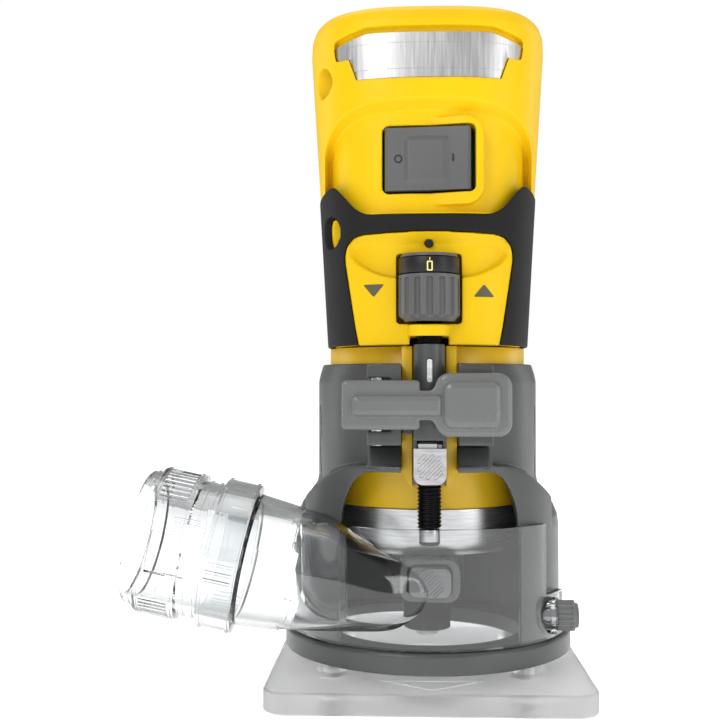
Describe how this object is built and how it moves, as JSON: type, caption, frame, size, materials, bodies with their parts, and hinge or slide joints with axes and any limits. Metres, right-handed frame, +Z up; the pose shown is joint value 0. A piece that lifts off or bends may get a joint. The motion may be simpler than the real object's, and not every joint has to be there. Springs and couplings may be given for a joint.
{
  "type": "trim router",
  "caption": "Upright trim router: motor unit that slides in a clamping base, with a clear square sole, clear dust shroud and side hose port.",
  "frame": {"origin": "centre of the underside of the object's box, on the plane of the sole", "axes": "+Z up along the spindle, +X to the user's right with the hose port on -X, -Y towards the user, on the side of the switch and the clamp lever"},
  "size_m": [0.1536, 0.1156, 0.2295],
  "materials": {
    "yellow_shell": "satin moulded",
    "yellow_tube": "satin",
    "rubber": "matte",
    "grey_casting": "semi-gloss",
    "grey_plastic": "satin",
    "black_plastic": "satin",
    "clear": "clear polycarbonate",
    "steel": "machined",
    "black_steel": "black oxide",
    "aluminium": "turned",
    "copper": "enamelled wire",
    "board": "solder mask"
  },
  "bodies": {
    "base": {"sub_base": "clear", "sub_base_screw_1": "steel", "sub_base_screw_2": "steel", "sub_base_screw_3": "steel", "sub_base_screw_4": "steel", "base_casting": "grey_casting", "depth_nut_post": "grey_casting", "dust_shroud": "clear", "hose_port": "clear", "lever_pivot_pin": "steel", "clamp_bolt": "steel", "clamp_nut": "steel", "release_pin": "steel", "release_spring": "steel", "shroud_bush": "steel"},
    "lever": {"clamp_lever": "grey_plastic"},
    "release": {"release_button": "steel"},
    "thumb_screw": {"thumb_knob": "grey_plastic", "thumb_stud": "steel"},
    "motor": {"motor_sleeve": "yellow_tube", "nose_casting": "aluminium", "lock_bracket": "grey_plastic", "lock_spring": "steel", "front_bearing": "steel", "rear_bearing": "steel", "stator_core": "black_steel", "stator_windings": "copper", "motor_end_cap": "black_plastic", "housing_left": "yellow_shell", "housing_right": "yellow_shell", "rubber_grip_left": "rubber", "rubber_grip_right": "rubber", "front_panel": "yellow_shell", "index_dot": "black_plastic", "name_plate": "aluminium", "switch_body": "black_plastic", "control_board": "board", "heat_sink": "aluminium", "battery_terminals": "black_plastic", "housing_screw_1": "steel", "housing_screw_2": "steel", "housing_screw_3": "steel", "housing_screw_4": "steel", "housing_screw_5": "steel"},
    "rocker": {"power_rocker": "grey_plastic"},
    "lock_button": {"spindle_lock_button": "steel", "lock_pin": "steel"},
    "spindle": {"spindle_shaft": "steel", "rotor": "steel", "fan": "black_plastic", "collet": "steel"},
    "nut": {"collet_nut": "black_steel"},
    "knob": {"depth_knob": "grey_plastic", "knob_cap": "grey_plastic", "depth_rod": "black_steel"},
    "scale": {"scale_ring": "black_plastic"}
  },
  "joints": [
    {"name": "motor_slide", "type": "slide", "parent": "base", "child": "motor", "axis": [0, 0, 1], "range_m": [-0.002, 0.02]},
    {"name": "lever_hinge", "type": "hinge", "parent": "base", "child": "lever", "pos_m": [0.0066, -0.04365, 0.0975], "axis": [0, 0, -1], "range_deg": [0, 100]},
    {"name": "release_press", "type": "hinge", "parent": "base", "child": "release", "pos_m": [0.0233, -0.04255, 0.0843], "axis": [1, 0, 0], "range_deg": [0, 10], "stiffness_Nm_per_rad": 0.4, "springref_deg": -5.73},
    {"name": "thumb_turn", "type": "hinge", "parent": "base", "child": "thumb_screw", "pos_m": [0.07, -0.02165, 0.0265], "axis": [1, 0, 0], "range_deg": [0, 1080]},
    {"name": "rocker_tilt", "type": "hinge", "parent": "motor", "child": "rocker", "pos_m": [0.0233, -0.03065, 0.1782], "axis": [0, 0, 1], "range_deg": [0, 12]},
    {"name": "lock_press", "type": "slide", "parent": "motor", "child": "lock_button", "axis": [0, 1, 0], "range_m": [0, 0.003], "stiffness_N_per_m": 600, "springref_m": -0.002},
    {"name": "spindle_spin", "type": "hinge", "parent": "motor", "child": "spindle", "pos_m": [0.0233, 0.00435, 0.06], "axis": [0, 0, 1], "continuous": true},
    {"name": "nut_turn", "type": "hinge", "parent": "spindle", "child": "nut", "pos_m": [0.0233, 0.00435, 0.025], "axis": [0, 0, 1], "range_deg": [0, 720]},
    {"name": "knob_turn", "type": "hinge", "parent": "motor", "child": "knob", "pos_m": [0.0233, -0.03615, 0.132], "axis": [0, 0, 1], "range_deg": [-360, 3600]},
    {"name": "scale_turn", "type": "hinge", "parent": "knob", "child": "scale", "pos_m": [0.0233, -0.03615, 0.1425], "axis": [0, 0, 1], "continuous": true}
  ],
  "couplings": [
    {"joint": "knob_turn", "follows": "motor_slide", "rad_per_m": 3141.6}
  ]
}
